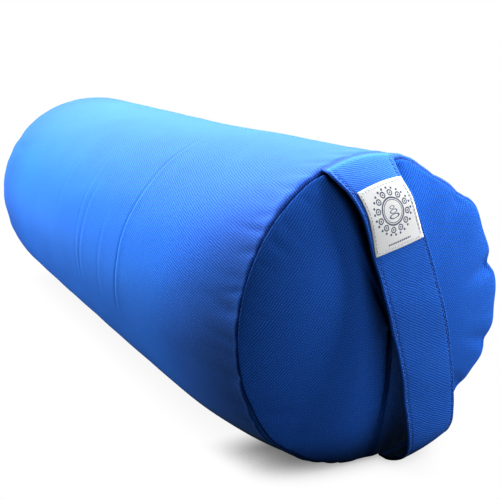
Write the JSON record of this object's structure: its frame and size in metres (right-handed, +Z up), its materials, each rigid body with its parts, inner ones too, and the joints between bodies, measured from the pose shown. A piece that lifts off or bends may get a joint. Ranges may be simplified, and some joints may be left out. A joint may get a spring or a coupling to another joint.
{
  "type": "bolster pillow",
  "caption": "Round spa and massage bolster pillow: filled inner cushion in a zipped cotton twill cover, with a labelled carry handle sewn across its end.",
  "frame": {"origin": "centre of the flattened underside, on the floor", "axes": "+Z up, +X along the bolster towards the end with the handle, +Y across it towards the side the zip is on"},
  "size_m": [0.6879, 0.2451, 0.2411],
  "materials": {
    "cover_twill": "blue brushed cotton twill",
    "handle_twill": "blue cotton twill, folded double",
    "sewing_thread": "blue polyester thread",
    "label_cloth": "off-white woven label cloth",
    "label_thread": "pale thread",
    "zip_tape": "dark blue woven tape",
    "zip_coil": "blue nylon coil",
    "zip_metal": "nickel-plated zinc",
    "liner_calico": "unbleached calico",
    "cotton_filling": "loose cotton fibre",
    "care_label_satin": "blank white satin ribbon"
  },
  "bodies": {
    "bolster": {"cover_barrel_panel": "cover_twill", "cover_end_panel_front": "cover_twill", "cover_end_panel_rear": "cover_twill", "cover_seam_overlock_front": "sewing_thread", "cover_seam_overlock_rear": "sewing_thread", "zip_tape_upper": "zip_tape", "zip_tape_lower": "zip_tape", "zip_coil_upper": "zip_coil", "zip_coil_lower": "zip_coil", "zip_topstitch_upper": "sewing_thread", "zip_topstitch_lower": "sewing_thread", "zip_stop_rear": "zip_metal", "zip_stop_front": "zip_metal", "care_label": "care_label_satin", "liner_barrel_panel": "liner_calico", "liner_end_panel_front": "liner_calico", "liner_end_panel_rear": "liner_calico", "filling": "cotton_filling", "handle_sewn_end_top": "handle_twill", "handle_sewn_end_bottom": "handle_twill"},
    "handle": {"handle_strap": "handle_twill", "handle_edge_stitching_left": "sewing_thread", "handle_edge_stitching_right": "sewing_thread", "handle_label": "label_cloth", "label_stitching": "label_thread"},
    "slider": {"zip_slider": "zip_metal"},
    "pull": {"zip_pull": "zip_metal"}
  },
  "joints": [
    {"name": "handle_swing", "type": "hinge", "parent": "bolster", "child": "handle", "pos_m": [0.30388, -0.00121, 0.23764], "axis": [0.0159, 0.1688, -0.9855], "range_deg": [-12, 8], "stiffness_Nm_per_rad": 0.4},
    {"name": "zip_slide", "type": "slide", "parent": "bolster", "child": "slider", "axis": [1, 0.0084, 0.0044], "range_m": [-0.4276, 0]},
    {"name": "zip_pull_hinge", "type": "hinge", "parent": "slider", "child": "pull", "pos_m": [0.19346, 0.11488, 0.0688], "axis": [0.007, -0.342, -0.9397], "range_deg": [0, 150]}
  ]
}
